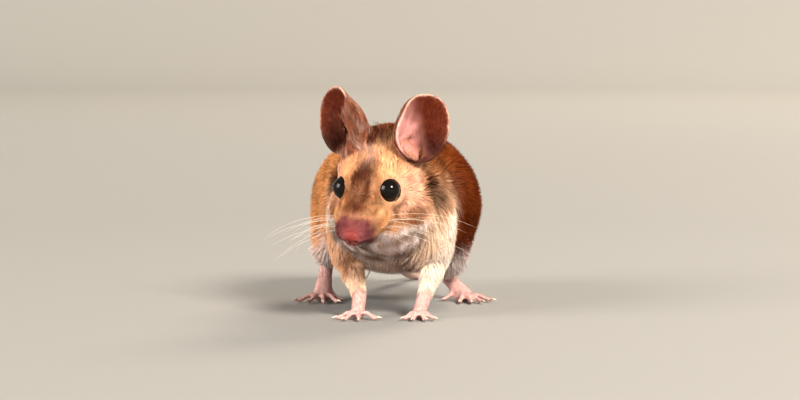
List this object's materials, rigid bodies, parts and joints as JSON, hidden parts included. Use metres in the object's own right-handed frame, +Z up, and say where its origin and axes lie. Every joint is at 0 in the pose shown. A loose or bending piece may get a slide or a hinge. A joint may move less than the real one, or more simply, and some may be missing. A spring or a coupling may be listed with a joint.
{
  "type": "wood mouse",
  "caption": "Life-size still model of a live wood mouse with brown coat, standing on its feet with its head turned to its right and its tail laid on the floor behind.",
  "frame": {"origin": "on the floor, under the middle of the bounding box", "axes": "+Z up, the mouse faces -Y, its left side is +X, its tail trails towards +Y"},
  "size_m": [0.0522, 0.1466, 0.049],
  "materials": {
    "russet_fur": "dense soft fur, orange brown with dark flecks",
    "pale_fur": "soft greyish white fur of chin, chest, belly and inner limbs",
    "bare_skin": "pink bare skin of nose, feet and tail, lightly scaled and haired",
    "ear_skin": "thin reddish brown skin with a pale rim and very fine hairs",
    "dark_eye": "wet gloss black",
    "claw": "translucent pale horn",
    "whisker": "fine stiff pale hair with a soft gloss"
  },
  "bodies": {
    "root": {"ear_left": "ear_skin", "ear_right": "ear_skin", "eye_left": "dark_eye", "eye_right": "dark_eye", "forearm_left": "pale_fur", "forearm_right": "pale_fur", "forefoot_left": "bare_skin", "forefoot_right": "bare_skin", "head": "russet_fur", "hindfoot_left": "bare_skin", "hindfoot_right": "bare_skin", "lower_jaw": "pale_fur", "neck": "russet_fur", "nose": "bare_skin", "shank_left": "pale_fur", "shank_right": "pale_fur", "tail_base": "bare_skin", "tail_middle": "bare_skin", "tail_tip": "bare_skin", "thigh_left": "russet_fur", "thigh_right": "russet_fur", "trunk": "russet_fur", "upper_arm_left": "russet_fur", "upper_arm_right": "russet_fur", "whisker_left_1": "whisker", "whisker_left_2": "whisker", "whisker_left_3": "whisker", "whisker_left_4": "whisker", "whisker_left_5": "whisker", "whisker_right_1": "whisker", "whisker_right_2": "whisker", "whisker_right_3": "whisker", "whisker_right_4": "whisker", "whisker_right_5": "whisker"}
  },
  "joints": []
}
